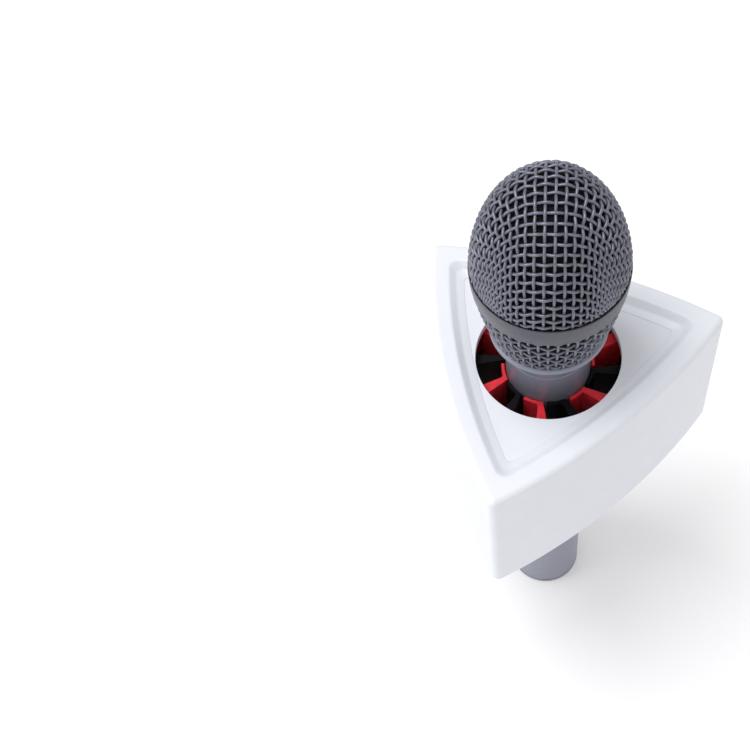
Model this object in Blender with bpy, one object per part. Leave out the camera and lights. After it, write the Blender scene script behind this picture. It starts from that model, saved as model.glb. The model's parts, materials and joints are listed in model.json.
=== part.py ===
"""Handheld reporter's microphone with a three-sided flag gripped on its shaft.

The frame's origin is the centre of the handle's lower end, +Z runs along the
microphone towards its head, and the flag's nearest corner points along -Y.
All sizes below are in millimetres and are turned into metres as meshes are made.
"""
import math

import bmesh
import bpy
from mathutils import Vector

MM = 0.001
GAP = 0.3                 # clearance between two solids that touch
TURNED_STEPS = 36         # facets round a large turned piece
INNER_STEPS = 24          # facets round a turned piece inside the microphone
ROD_STEPS = 12            # facets round a pin, a screw or a hole

# Microphone shaft
SHAFT_R = 12.3
SHAFT_BORE_R = 10.9
SHAFT_TOP = 154.6
FOOT_CHAMFER = 0.7
TOP_CHAMFER = 0.4
NECK_BORE_R = 9.2
NECK_FOOT = 140.0
NECK_TOP = 163.0

# Head: collar, lower basket, band and upper basket, from the shaft up
COLLAR_BASE = 155.2
COLLAR_TOP = 166.0
COLLAR_BORE_R = 11.9
COLLAR_TOP_R = 16.7
COLLAR_FOOT_R = 12.7
COLLAR_SEAT = (13.2, 163.6)   # radius and height where the collar's bore opens out
COLLAR_FLARE = ((13.0, 158.0), (13.8, 160.6), (15.1, 163.0), (16.5, 164.9))
MESH_INLET = 0.4          # how far the lower basket's foot lies inside the collar's rim
LOWER_POWER = 1.35        # how the lower basket swells towards the band
BAND_BASE = 186.0
BAND_TOP = 193.3
BAND_R = 21.3
BAND_BASE_R = 20.7
BAND_BULGE_R = 21.12
BAND_WALL = 1.4
HEAD_TOP = 226.0
EGG_POWER_Z = 1.79
EGG_POWER_R = 2.25
MESH_WALL = 0.9
LINER_WALL = 2.0
LINER_GAP = 0.5
LINER_FOOT = 0.8
LINER_BAND_GAP = 0.4

# Capsule on its rubber mount
MOUNT_BASE = 163.3
MOUNT_TOP = 169.0
MOUNT_R = 11.2
MOUNT_BORE_R = 6.0
MOUNT_FOLD = 1.6          # how far the mount's waist folds in
MOUNT_LIP = 1.7           # height of the mount's two lips
CAPSULE_R = 11.6
CAPSULE_BASE = 169.3
CAPSULE_TOP = 186.0
CAPSULE_WALL = 1.0
CAPSULE_CHAMFER = 0.6
LEAD_HOLE_R = 2.6
POT_R = 9.8
POT_BASE = 170.8
POT_TOP = 182.0
POT_BORE_R = 7.8
POT_FLOOR = 2.0
MAGNET_R = 5.4
MAGNET_TOP = 179.0
POLE_R = 5.6
CAP_BASE = 186.3
CAP_TOP = 189.0
CAP_LIP = 1.4
CAP_HOLE_R = 1.8
CAP_MIDDLE_HOLE_R = 1.5
CAP_HOLE_CIRCLE_R = 6.2
COIL_R = 7.2
COIL_WALL = 1.0
COIL_BASE = 177.5
COIL_TOP = 183.6
DOME_R = 6.6
DOME_RISE = 1.4
FILM_BASE = 183.9
FILM = 0.3                # thickness of the diaphragm
FILM_EDGE = ((10.1, 0.0), (9.6, 0.6), (8.2, 0.9))    # the rolled edge, above the film's base
FILM_EDGE_UNDER = ((8.2, 0.6), (9.5, 0.3), (9.9, 0.0))

# Flag
RIM_TOP = 150.0
FLAG_HEIGHT = 55.0
FLAG_CORNER_REACH = 52.2  # from the axis to where two sides would meet
FLAG_BOW = 5.5            # how far a side bulges beyond its chord
FLAG_CORNER_R = 2.2
FLAG_WALL = 2.2
RIM_WIDTH = 5.8
RECESS_DEPTH = 2.8
RECESS_SLOPE = 4.3        # width of the sloping wall between rim and floor
RECESS_KNEE = (2.0, 1.8)  # how far in and down from the rim the steep part of the wall ends
RECESS_LIP = 0.2          # height of the small step at the foot of the wall
RECESS_CORNER_R = 3.0
CORNER_TIGHTENING = 0.35  # how fast the recess's corners tighten towards its floor
FLOOR_THICKNESS = 2.5
HOLE_R = 21.0
RIM_FILLET = 2.0
SOFT_EDGE = 0.6           # how far the rounding of the recess reaches
RIM_THICKNESS = 2.7
BASE_RECESS = 3.0
BASE_THICKNESS = 2.6

# Grip inside the flag
SLEEVE_R = 25.7
SLEEVE_WALL = 1.5
GRIP_RING_R = 24.1
GRIP_RING_WALL = 1.3
GRIP_RING_HEIGHT = 10.0
RED_RING_DROP = 4.0       # how far each ring's top lies below the fins' top
BLACK_RING_DROP = 18.0
FIN_COUNT = 12
FIN_TOP = RIM_TOP - 8.0
FIN_HEIGHT = 30.0
FIN_FIRST_ANGLE = -77.0   # the first red fin's root, in degrees about Z
FIN_HINGE_R = 21.9
FIN_ROOT_HALF = 1.9
FIN_INNER_HALF = 0.85
FIN_LEAN = 5.0            # how far the arm's inner end trails its root
PAD_R = SHAFT_R + GAP
PAD_THICKNESS = 1.0
PAD_SWEEP = 22.0

# Output connector in the handle's lower end
SOCKET_R = 9.4
SOCKET_BASE = 1.0
SOCKET_TOP = 24.0
INSULATOR_BASE = 14.0
INSULATOR_TOP = 20.0
PIN_CIRCLE_R = 3.9
PIN_R = 1.2
PIN_TIP = 3.5
PIN_TAIL = 3.0            # how far a pin stands out of the insulator's back
SCREW_Z = 22.0
SCREW_R = 1.2
SCREW_HOLE = (5.0, 16.0)  # where the screw's hole starts and ends along Y

# Transformer and wires inside the shaft
TRANSFORMER_R = 8.4
TRANSFORMER_BASE = 84.0
TRANSFORMER_TOP = 108.0
TRANSFORMER_CHAMFER = 0.8
BOOT_BASES = (("transformer_boot_lower", 86.0), ("transformer_boot_upper", 101.0))
BOOT_HEIGHT = 5.0
LEAD_R = 0.45
CAPSULE_LEAD_ROUTE = ((1.6, 0.0, 169.0), (2.2, 0.0, 160.0), (4.0, 1.0, 148.0),
                      (5.5, 0.0, 132.0), (3.5, 1.0, 118.0), (2.6, 0.0, 108.4))
OUTPUT_LEAD_ROUTE = ((PIN_CIRCLE_R, 23.4), (4.6, 32.0), (7.0, 50.0), (6.0, 68.0), (4.0, 83.6))

COLOURS = {
    "paint": ((0.085, 0.092, 0.115, 1.0), 0.5, 0.35),
    "mesh_paint": ((0.13, 0.14, 0.175, 1.0), 0.4, 0.5),
    "foam": ((0.012, 0.012, 0.014, 1.0), 0.95, 0.0),
    "white_plastic": ((0.86, 0.87, 0.90, 1.0), 0.35, 0.0),
    "black_plastic": ((0.012, 0.012, 0.013, 1.0), 0.5, 0.0),
    "red_rubber": ((0.55, 0.012, 0.02, 1.0), 0.5, 0.0),
    "black_rubber": ((0.02, 0.02, 0.023, 1.0), 0.55, 0.0),
    "steel": ((0.55, 0.56, 0.58, 1.0), 0.3, 1.0),
    "copper": ((0.75, 0.32, 0.15, 1.0), 0.35, 1.0),
    "magnet": ((0.2, 0.2, 0.21, 1.0), 0.45, 0.9),
    "film": ((0.75, 0.72, 0.6, 1.0), 0.3, 0.0),
    "gold": ((0.9, 0.62, 0.2, 1.0), 0.25, 1.0),
}


def clear_scene():
    for obj in list(bpy.data.objects):
        bpy.data.objects.remove(obj, do_unlink=True)


def make_materials():
    materials = {}
    for name, (colour, roughness, metallic) in COLOURS.items():
        material = bpy.data.materials.new(name)
        material.use_nodes = True
        shader = material.node_tree.nodes["Principled BSDF"]
        shader.inputs["Base Color"].default_value = colour
        shader.inputs["Roughness"].default_value = roughness
        shader.inputs["Metallic"].default_value = metallic
        materials[name] = material
    return materials


def make_empty(name, location, parent=None):
    """An empty at location, given in the frame's millimetres, to stand for a moving body."""
    empty = bpy.data.objects.new(name, None)
    bpy.context.collection.objects.link(empty)
    offset = Vector(location) * MM
    empty.parent = parent
    if parent is not None:
        offset -= parent.location
    empty.location = offset
    return empty


def finish_object(name, bm, material, parent, smooth=True):
    """Turn a bmesh in millimetres into a closed, outward-facing object in metres."""
    bmesh.ops.remove_doubles(bm, verts=bm.verts, dist=0.0005)
    bmesh.ops.recalc_face_normals(bm, faces=bm.faces)
    origin = world_place(parent)
    for vertex in bm.verts:
        vertex.co = vertex.co * MM - origin
    mesh = bpy.data.meshes.new(name)
    bm.to_mesh(mesh)
    bm.free()
    mesh.materials.append(material)
    if smooth:
        mesh.shade_smooth()
        mesh.set_sharp_from_angle(angle=math.radians(35))
    obj = bpy.data.objects.new(name, mesh)
    bpy.context.collection.objects.link(obj)
    obj.parent = parent
    return obj


def world_place(empty):
    place = Vector((0.0, 0.0, 0.0))
    while empty is not None:
        place += empty.location
        empty = empty.parent
    return place


def turned(name, profile, material, parent, steps=TURNED_STEPS):
    """A solid turned about Z from a closed profile of (radius, height) points."""
    bm = bmesh.new()
    verts = [bm.verts.new((radius, 0.0, height)) for radius, height in profile]
    edges = [bm.edges.new((a, b)) for a, b in zip(verts, verts[1:] + verts[:1])]
    bmesh.ops.spin(bm, geom=verts + edges, cent=(0, 0, 0), axis=(0, 0, 1),
                   angle=2 * math.pi, steps=steps, use_merge=True)
    remove_axis_slivers(bm)
    return finish_object(name, bm, material, parent)


def remove_axis_slivers(bm):
    """Merge what the spin leaves on the axis and drop the faces that have no area."""
    bmesh.ops.remove_doubles(bm, verts=bm.verts, dist=0.0005)
    bmesh.ops.dissolve_degenerate(bm, dist=0.0005, edges=bm.edges)


def lofted(name, rings, material, parent):
    """A solid whose skin runs through closed rings of equal length and back to the first."""
    bm = bmesh.new()
    loops = [[bm.verts.new(point) for point in ring] for ring in rings]
    for lower, upper in zip(loops, loops[1:] + loops[:1]):
        count = len(lower)
        for i in range(count):
            j = (i + 1) % count
            bm.faces.new((lower[i], lower[j], upper[j], upper[i]))
    return finish_object(name, bm, material, parent)


def prism(name, outline, base, top, material, parent):
    """A flat outline of (x, y) points raised from base to top."""
    bm = bmesh.new()
    face = bm.faces.new([bm.verts.new((x, y, base)) for x, y in outline])
    raised = bmesh.ops.extrude_face_region(bm, geom=[face])
    new_verts = [item for item in raised["geom"] if isinstance(item, bmesh.types.BMVert)]
    bmesh.ops.translate(bm, verts=new_verts, vec=(0, 0, top - base))
    return finish_object(name, bm, material, parent)


def add_rod(bm, start, end, radius, steps=ROD_STEPS):
    """Add a capped cylinder between two points to bm."""
    axis = Vector(end) - Vector(start)
    made = bmesh.ops.create_cone(bm, cap_ends=True, segments=steps, radius1=radius,
                                 radius2=radius, depth=axis.length)
    turn = axis.to_track_quat("Z", "Y").to_matrix()
    bmesh.ops.rotate(bm, verts=made["verts"], cent=(0, 0, 0), matrix=turn)
    middle = (Vector(start) + Vector(end)) / 2
    bmesh.ops.translate(bm, verts=made["verts"], vec=middle)


def cut_with(name, targets, rods, parent):
    """Cut the rods, given as (start, end, radius), out of each target."""
    bm = bmesh.new()
    for start, end, radius in rods:
        add_rod(bm, start, end, radius)
    cutter = finish_object(name, bm, targets[0].data.materials[0], parent, smooth=False)
    cutter.hide_render = True
    cutter.display_type = "WIRE"
    for target in targets:
        cut = target.modifiers.new("cut_" + name, "BOOLEAN")
        cut.object = cutter
        cut.operation = "DIFFERENCE"
        cut.solver = "EXACT"


def arc_points(centre, radius, start, end, steps):
    """Points on an arc from start to end, in degrees."""
    points = []
    for step in range(steps + 1):
        angle = math.radians(start + (end - start) * step / steps)
        points.append((centre[0] + radius * math.cos(angle),
                       centre[1] + radius * math.sin(angle)))
    return points


# ---------------------------------------------------------------- microphone

def egg_radius(height, inset=0.0):
    """The upper basket's radius at a height, drawn in by inset."""
    rise = max(0.0, min(1.0, (height - BAND_TOP) / (HEAD_TOP - inset - BAND_TOP)))
    return (BAND_R - inset) * (1 - rise ** EGG_POWER_Z) ** (1 / EGG_POWER_R)


def egg_curve(inset, start, steps):
    """The egg's profile from start up to its pole, closer together near the pole."""
    top = HEAD_TOP - inset
    points = []
    for step in range(steps + 1):
        height = start + (top - start) * math.sin(math.pi / 2 * step / steps)
        points.append((egg_radius(height, inset), height))
    points[-1] = (0.0, top)
    return points


def lower_curve(inset, base, top, steps):
    """The lower basket's profile: it swells from the collar to the band."""
    foot, head = COLLAR_TOP_R - MESH_INLET, BAND_BASE_R - 0.2
    points = []
    for step in range(steps + 1):
        part = step / steps
        swell = 1 - (1 - part) ** LOWER_POWER
        radius = foot + (head - foot) * swell
        points.append((radius - inset, base + (top - base) * part))
    return points


def make_handle(materials, body):
    tube = turned("handle_tube", [
        (SHAFT_BORE_R, 0.0), (SHAFT_R - FOOT_CHAMFER, 0.0), (SHAFT_R, FOOT_CHAMFER),
        (SHAFT_R, SHAFT_TOP - TOP_CHAMFER), (SHAFT_R - TOP_CHAMFER, SHAFT_TOP),
        (SHAFT_BORE_R, SHAFT_TOP),
    ], materials["paint"], body)
    neck_r = SHAFT_BORE_R - GAP
    thread_r = COLLAR_BORE_R - GAP
    turned("threaded_neck", [
        (NECK_BORE_R, NECK_FOOT), (neck_r, NECK_FOOT), (neck_r, SHAFT_TOP + GAP),
        (thread_r, SHAFT_TOP + GAP), (thread_r, NECK_TOP), (NECK_BORE_R, NECK_TOP),
    ], materials["steel"], body)
    return tube


def make_connector(materials, body, tube):
    socket = turned("connector_socket", [
        (SOCKET_R, SOCKET_BASE), (SHAFT_BORE_R - GAP, SOCKET_BASE),
        (SHAFT_BORE_R - GAP, SOCKET_TOP), (SOCKET_R, SOCKET_TOP),
    ], materials["steel"], body)
    insulator = turned("connector_insulator", [
        (0.0, INSULATOR_BASE), (SOCKET_R - GAP, INSULATOR_BASE),
        (SOCKET_R - GAP, INSULATOR_TOP), (0.0, INSULATOR_TOP),
    ], materials["black_plastic"], body)
    pin_holes = []
    for number in range(3):
        angle = math.radians(90 + 120 * number)
        x, y = PIN_CIRCLE_R * math.cos(angle), PIN_CIRCLE_R * math.sin(angle)
        bm = bmesh.new()
        add_rod(bm, (x, y, PIN_TIP), (x, y, INSULATOR_TOP + PIN_TAIL), PIN_R)
        finish_object(f"contact_pin_{number + 1}", bm, materials["gold"], body)
        pin_holes.append(((x, y, INSULATOR_BASE - 1), (x, y, INSULATOR_TOP + 1), PIN_R + GAP))
    cut_with("pin_hole_cutter", [insulator], pin_holes, body)
    bm = bmesh.new()
    add_rod(bm, (0, SOCKET_R + GAP, SCREW_Z), (0, SHAFT_R - GAP, SCREW_Z), SCREW_R)
    finish_object("connector_screw", bm, materials["steel"], body)
    start, end = SCREW_HOLE
    hole = [((0, start, SCREW_Z), (0, end, SCREW_Z), SCREW_R + GAP)]
    cut_with("screw_hole_cutter", [tube, socket], hole, body)


def make_transformer(materials, body):
    shoulder = TRANSFORMER_R - TRANSFORMER_CHAMFER
    turned("output_transformer", [
        (0.0, TRANSFORMER_BASE), (shoulder, TRANSFORMER_BASE),
        (TRANSFORMER_R, TRANSFORMER_BASE + TRANSFORMER_CHAMFER),
        (TRANSFORMER_R, TRANSFORMER_TOP - TRANSFORMER_CHAMFER),
        (shoulder, TRANSFORMER_TOP), (0.0, TRANSFORMER_TOP),
    ], materials["magnet"], body, steps=INNER_STEPS)
    inner, outer = TRANSFORMER_R + GAP, SHAFT_BORE_R - GAP
    for name, base in BOOT_BASES:
        top = base + BOOT_HEIGHT
        turned(name, [(inner, base), (outer, base), (outer, top), (inner, top)],
               materials["black_rubber"], body, steps=INNER_STEPS)


def make_lead(name, points, material, body):
    """A wire along a smooth curve through its points."""
    curve = bpy.data.curves.new(name, "CURVE")
    curve.dimensions = "3D"
    curve.bevel_depth = LEAD_R * MM
    curve.bevel_resolution = 1
    curve.use_fill_caps = True
    spline = curve.splines.new("POLY")
    route = smooth_route([Vector(point) * MM for point in points])
    spline.points.add(len(route) - 1)
    for slot, place in zip(spline.points, route):
        slot.co = (*place, 1.0)
    curve.materials.append(material)
    obj = bpy.data.objects.new(name, curve)
    bpy.context.collection.objects.link(obj)
    obj.parent = body
    return obj


def smooth_route(points, steps=5):
    """Points along a Catmull-Rom curve through the route's own points."""
    padded = [points[0]] + points + [points[-1]]
    route = []
    for before, start, end, after in zip(padded, padded[1:], padded[2:], padded[3:]):
        for step in range(steps):
            t = step / steps
            route.append(0.5 * (2 * start + (end - before) * t
                                + (2 * before - 5 * start + 4 * end - after) * t ** 2
                                + (3 * start - before - 3 * end + after) * t ** 3))
    route.append(points[-1])
    return route


def make_leads(materials, body):
    for side, name, material in ((1, "capsule_lead_live", "red_rubber"),
                                 (-1, "capsule_lead_return", "black_rubber")):
        make_lead(name, [(side * x, y, height) for x, y, height in CAPSULE_LEAD_ROUTE],
                  materials[material], body)
    for number in range(3):
        angle = math.radians(90 + 120 * number)
        make_lead(f"output_lead_{number + 1}",
                  [(reach * math.cos(angle), reach * math.sin(angle), height)
                   for reach, height in OUTPUT_LEAD_ROUTE],
                  materials["black_plastic"], body)


def make_shock_mount(materials, body):
    """A folded rubber ring between the neck and the capsule."""
    middle = (MOUNT_BASE + MOUNT_TOP) / 2
    thin = MOUNT_LIP - GAP / 2
    turned("rubber_shock_mount", [
        (MOUNT_BORE_R, MOUNT_BASE), (MOUNT_R, MOUNT_BASE), (MOUNT_R, MOUNT_BASE + MOUNT_LIP),
        (MOUNT_R - MOUNT_FOLD, middle), (MOUNT_R, MOUNT_TOP - MOUNT_LIP), (MOUNT_R, MOUNT_TOP),
        (MOUNT_BORE_R, MOUNT_TOP), (MOUNT_BORE_R, MOUNT_TOP - thin),
        (MOUNT_BORE_R + MOUNT_FOLD, middle), (MOUNT_BORE_R, MOUNT_BASE + thin),
    ], materials["black_rubber"], body, steps=INNER_STEPS)


def make_capsule(materials, body):
    floor = CAPSULE_BASE + CAPSULE_WALL + GAP / 2
    turned("capsule_housing", [
        (LEAD_HOLE_R, CAPSULE_BASE), (CAPSULE_R - CAPSULE_CHAMFER, CAPSULE_BASE),
        (CAPSULE_R, CAPSULE_BASE + CAPSULE_CHAMFER), (CAPSULE_R, CAPSULE_TOP),
        (CAPSULE_R - CAPSULE_WALL, CAPSULE_TOP), (CAPSULE_R - CAPSULE_WALL, floor),
        (LEAD_HOLE_R, floor),
    ], materials["steel"], body, steps=INNER_STEPS)
    pot_floor = POT_BASE + POT_FLOOR
    turned("magnet_pot", [
        (0.0, POT_BASE), (POT_R, POT_BASE), (POT_R, POT_TOP), (POT_BORE_R, POT_TOP),
        (POT_BORE_R, pot_floor), (0.0, pot_floor),
    ], materials["steel"], body, steps=INNER_STEPS)
    turned("magnet", [
        (0.0, pot_floor + GAP), (MAGNET_R, pot_floor + GAP), (MAGNET_R, MAGNET_TOP),
        (0.0, MAGNET_TOP),
    ], materials["magnet"], body, steps=INNER_STEPS)
    turned("pole_piece", [
        (0.0, MAGNET_TOP + GAP), (POLE_R, MAGNET_TOP + GAP), (POLE_R, POT_TOP), (0.0, POT_TOP),
    ], materials["steel"], body, steps=INNER_STEPS)


def make_capsule_cap(materials, body):
    """The cap over the capsule, with seven sound holes."""
    under, inner = (CAP_BASE + CAP_TOP) / 2, CAPSULE_R - CAP_LIP
    cap = turned("capsule_cap", [
        (0.0, under), (inner, under), (inner, CAP_BASE), (CAPSULE_R, CAP_BASE),
        (CAPSULE_R, CAP_TOP - TRANSFORMER_CHAMFER), (CAPSULE_R - TRANSFORMER_CHAMFER, CAP_TOP),
        (0.0, CAP_TOP),
    ], materials["black_plastic"], body, steps=INNER_STEPS)
    low, high = CAP_BASE - 1, CAP_TOP + 1
    holes = [((0, 0, low), (0, 0, high), CAP_MIDDLE_HOLE_R)]
    for number in range(6):
        angle = math.radians(60 * number)
        x, y = CAP_HOLE_CIRCLE_R * math.cos(angle), CAP_HOLE_CIRCLE_R * math.sin(angle)
        holes.append(((x, y, low), (x, y, high), CAP_HOLE_R))
    cut_with("cap_hole_cutter", [cap], holes, body)


def make_moving_coil(materials, body):
    turned("voice_coil", [
        (COIL_R - COIL_WALL, COIL_BASE), (COIL_R, COIL_BASE), (COIL_R, COIL_TOP),
        (COIL_R - COIL_WALL, COIL_TOP),
    ], materials["copper"], body, steps=INNER_STEPS)
    crown = FILM_BASE + DOME_RISE
    dome = []
    for step in range(4):
        angle = math.radians(20 * step)
        dome.append((DOME_R * math.cos(angle), FILM_BASE + DOME_RISE * math.sin(angle)))
    under = [(radius - FILM / 2, height - FILM) for radius, height in reversed(dome)]
    edge = [(radius, FILM_BASE + height) for radius, height in FILM_EDGE]
    edge_under = [(radius, FILM_BASE + height) for radius, height in FILM_EDGE_UNDER]
    turned("diaphragm", edge + dome + [(0.0, crown), (0.0, crown - FILM)] + under + edge_under,
           materials["film"], body, steps=INNER_STEPS)


def make_liner(materials, body):
    """Foam behind both baskets, from the collar past the band to the pole."""
    outer = MESH_WALL + LINER_GAP
    foot = COLLAR_TOP + LINER_FOOT
    band_part = BAND_WALL + GAP + LINER_BAND_GAP
    band_r = BAND_BASE_R - band_part
    egg_start = BAND_TOP + LINER_FOOT
    outside = lower_curve(outer, foot, BAND_BASE, 3)[:-1]
    outside += [(band_r, BAND_BASE - GAP), (band_r, BAND_TOP)]
    outside += egg_curve(max(outer, band_part), egg_start, 6)
    inside = lower_curve(outer + LINER_WALL, foot, BAND_BASE, 3)[:-1]
    inside += [(band_r - LINER_WALL, BAND_BASE)]
    inside += egg_curve(max(outer, band_part) + LINER_WALL, egg_start, 6)
    inside.reverse()
    turned("foam_liner", outside + inside, materials["foam"], body)


def make_basket(materials, body):
    seat_r, seat_height = COLLAR_SEAT
    turned("basket_collar", [
        (COLLAR_BORE_R, COLLAR_BASE), (COLLAR_FOOT_R - 0.2, COLLAR_BASE),
        (COLLAR_FOOT_R, COLLAR_BASE + 0.5), *COLLAR_FLARE, (COLLAR_TOP_R, COLLAR_TOP - 0.5),
        (COLLAR_TOP_R - 0.1, COLLAR_TOP), (seat_r, COLLAR_TOP), (COLLAR_BORE_R, seat_height),
    ], materials["paint"], body)
    base, top = COLLAR_TOP + GAP, BAND_BASE - GAP
    inside = lower_curve(MESH_WALL, base, top, 4)
    inside.reverse()
    turned("lower_basket", lower_curve(0.0, base, top, 4) + inside, materials["mesh_paint"], body)
    turned("basket_band", [
        (BAND_BASE_R - BAND_WALL, BAND_BASE), (BAND_BASE_R - 0.3, BAND_BASE),
        (BAND_BASE_R, BAND_BASE + 0.4), (BAND_BULGE_R, (BAND_BASE + BAND_TOP) / 2),
        (BAND_R, BAND_TOP - 0.4), (BAND_R - 0.3, BAND_TOP), (BAND_BASE_R - BAND_WALL, BAND_TOP),
    ], materials["paint"], body)
    start = BAND_TOP + GAP
    inside = egg_curve(MESH_WALL, start, 8)
    inside.reverse()
    turned("upper_basket", egg_curve(0.0, start, 8) + inside, materials["mesh_paint"], body)


# ---------------------------------------------------------------------- flag

def corner_radius(inset):
    """The outline's corner radius: tight near the outside, soft round the recess."""
    if inset < 1.2 * FLAG_WALL:
        return max(FLAG_CORNER_R - inset, 0.4)
    return min(0.4 + 1.1 * (inset - 1.2 * FLAG_WALL),
               RECESS_CORNER_R - CORNER_TIGHTENING * (inset - RIM_WIDTH))


def flag_outline(inset, side_steps=12, corner_steps=3):
    """The flag's three-sided outline, drawn in by inset, as (x, y) points."""
    half_chord = FLAG_CORNER_REACH * math.sqrt(3) / 2
    bow_r = (half_chord ** 2 + FLAG_BOW ** 2) / (2 * FLAG_BOW)
    bow_centre = FLAG_CORNER_REACH / 2 + FLAG_BOW - bow_r
    side_r = bow_r - inset
    corner_r = corner_radius(inset)
    corner_reach = bow_centre / 2 + math.sqrt((side_r - corner_r) ** 2 - 0.75 * bow_centre ** 2)
    # Seen from the middle of a side's bow, the angle out to the corner's own centre
    swing = math.degrees(math.atan2(corner_reach * math.sin(math.radians(60)),
                                    corner_reach * math.cos(math.radians(60)) - bow_centre))
    points = []
    for side in range(3):
        facing = -30 + 120 * side
        out = math.radians(facing)
        centre = (bow_centre * math.cos(out), bow_centre * math.sin(out))
        points += arc_points(centre, side_r, facing - swing, facing + swing, side_steps)
        corner = math.radians(facing + 60)
        middle = (corner_reach * math.cos(corner), corner_reach * math.sin(corner))
        turn = arc_points(middle, corner_r, facing + swing, facing + 120 - swing, corner_steps)
        points += turn[1:-1]
    return points


def outline_ring(inset, height):
    return [(x, y, height) for x, y in flag_outline(inset)]


def round_ring(radius, height):
    """A circle with one point in line with each point of the outline."""
    ring = []
    for x, y in flag_outline(RIM_WIDTH + RECESS_SLOPE):
        reach = math.hypot(x, y)
        ring.append((x / reach * radius, y / reach * radius, height))
    return ring


def make_flag_shell(materials, body):
    base = RIM_TOP - FLAG_HEIGHT
    floor_top = RIM_TOP - RECESS_DEPTH
    floor_under = floor_top - FLOOR_THICKNESS
    inner_edge = RIM_WIDTH + RECESS_SLOPE
    rim_under = RIM_TOP - RIM_THICKNESS
    knee_in, knee_down = RECESS_KNEE
    rings = [
        outline_ring(0.5, base), outline_ring(0.0, base + 0.8),
        outline_ring(0.0, RIM_TOP - RIM_FILLET),
        outline_ring(0.3 * RIM_FILLET, RIM_TOP - 0.3 * RIM_FILLET),
        outline_ring(RIM_FILLET, RIM_TOP), outline_ring(RIM_WIDTH - SOFT_EDGE, RIM_TOP),
        outline_ring(RIM_WIDTH + 0.3, RIM_TOP - 0.4),
        outline_ring(RIM_WIDTH + knee_in, RIM_TOP - knee_down),
        outline_ring(inner_edge, floor_top + RECESS_LIP),
        outline_ring(inner_edge + RECESS_LIP, floor_top),
        round_ring(HOLE_R, floor_top), round_ring(HOLE_R, floor_under),
        outline_ring(inner_edge, floor_under),
        outline_ring(RIM_WIDTH + 0.8, rim_under), outline_ring(FLAG_WALL + 0.8, rim_under),
        outline_ring(FLAG_WALL, rim_under - 1.0), outline_ring(FLAG_WALL, base),
    ]
    lofted("flag_shell", rings, materials["white_plastic"], body)


def make_flag_base(materials, body):
    under = RIM_TOP - FLAG_HEIGHT + BASE_RECESS
    top = under + BASE_THICKNESS
    edge = FLAG_WALL + GAP
    rings = [outline_ring(edge, under), outline_ring(edge, top),
             round_ring(HOLE_R, top), round_ring(HOLE_R, under)]
    lofted("flag_base", rings, materials["white_plastic"], body)


def make_core_sleeve(materials, body):
    base = RIM_TOP - FLAG_HEIGHT + BASE_RECESS + BASE_THICKNESS + GAP
    top = RIM_TOP - RECESS_DEPTH - FLOOR_THICKNESS - GAP
    turned("core_sleeve", [
        (SLEEVE_R, base), (SLEEVE_R + SLEEVE_WALL, base),
        (SLEEVE_R + SLEEVE_WALL, top), (SLEEVE_R, top),
    ], materials["black_plastic"], body)


def make_grip_rings(materials, body):
    inner, outer = GRIP_RING_R, GRIP_RING_R + GRIP_RING_WALL
    for name, drop, material in (("red_grip_ring", RED_RING_DROP, "red_rubber"),
                                 ("black_grip_ring", BLACK_RING_DROP, "black_rubber")):
        top = FIN_TOP - drop
        base = top - GRIP_RING_HEIGHT
        turned(name, [(inner, base), (outer, base), (outer, top), (inner, top)],
               materials[material], body)


def fin_outline():
    """A grip fin seen from above, its root on +X: an arm, and a pad that hugs the shaft."""
    lean = math.radians(-FIN_LEAN)
    root = Vector((FIN_HINGE_R, 0.0))
    pad_middle = PAD_R + PAD_THICKNESS / 2
    inner = Vector((math.cos(lean), math.sin(lean))) * pad_middle
    inward = (inner - root).normalized()
    side = Vector((-inward.y, inward.x))
    pad_end = -FIN_LEAN - PAD_SWEEP
    points = [root + side * FIN_ROOT_HALF, inner + side * FIN_INNER_HALF - inward]
    points += [Vector(p) for p in arc_points((0, 0), PAD_R + PAD_THICKNESS,
                                             -FIN_LEAN - 4.0, pad_end, 6)]
    points += [Vector(p) for p in arc_points((0, 0), PAD_R, pad_end, -FIN_LEAN + 3.4, 7)]
    points.append(inner - side * FIN_INNER_HALF - inward * 0.2)
    heading = math.degrees(math.atan2(-side.y, -side.x))
    points += [Vector(p) for p in arc_points(root, FIN_ROOT_HALF, heading, heading - 150, 5)]
    return points


def make_fins(materials, body):
    """Twelve fins, red and black in turn, each swinging about Z at its own root."""
    for number in range(FIN_COUNT):
        angle = math.radians(FIN_FIRST_ANGLE + 360 / FIN_COUNT * number)
        turn = (math.cos(angle), math.sin(angle))
        outline = [(x * turn[0] - y * turn[1], x * turn[1] + y * turn[0])
                   for x, y in fin_outline()]
        colour = "black" if number % 2 else "red"
        name = f"{colour}_grip_fin_{number // 2 + 1}"
        hinge = make_empty(name + "_hinge", (FIN_HINGE_R * turn[0], FIN_HINGE_R * turn[1], 0.0),
                           body)
        prism(name, outline, FIN_TOP - FIN_HEIGHT, FIN_TOP, materials[colour + "_rubber"], hinge)


def main():
    clear_scene()
    materials = make_materials()
    handle = make_empty("handle", (0, 0, 0))
    tube = make_handle(materials, handle)
    make_connector(materials, handle, tube)
    make_transformer(materials, handle)
    make_leads(materials, handle)
    make_shock_mount(materials, handle)
    make_capsule(materials, handle)
    make_capsule_cap(materials, handle)
    moving_coil = make_empty("moving_coil", (0, 0, 0), handle)
    make_moving_coil(materials, moving_coil)
    liner = make_empty("liner", (0, 0, 0), handle)
    make_liner(materials, liner)
    basket = make_empty("basket", (0, 0, 0), liner)
    make_basket(materials, basket)
    core = make_empty("core", (0, 0, 0), handle)
    make_core_sleeve(materials, core)
    flag = make_empty("flag", (0, 0, 0), core)
    make_flag_shell(materials, flag)
    make_flag_base(materials, flag)
    make_grip_rings(materials, flag)
    make_fins(materials, flag)


main()
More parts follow.
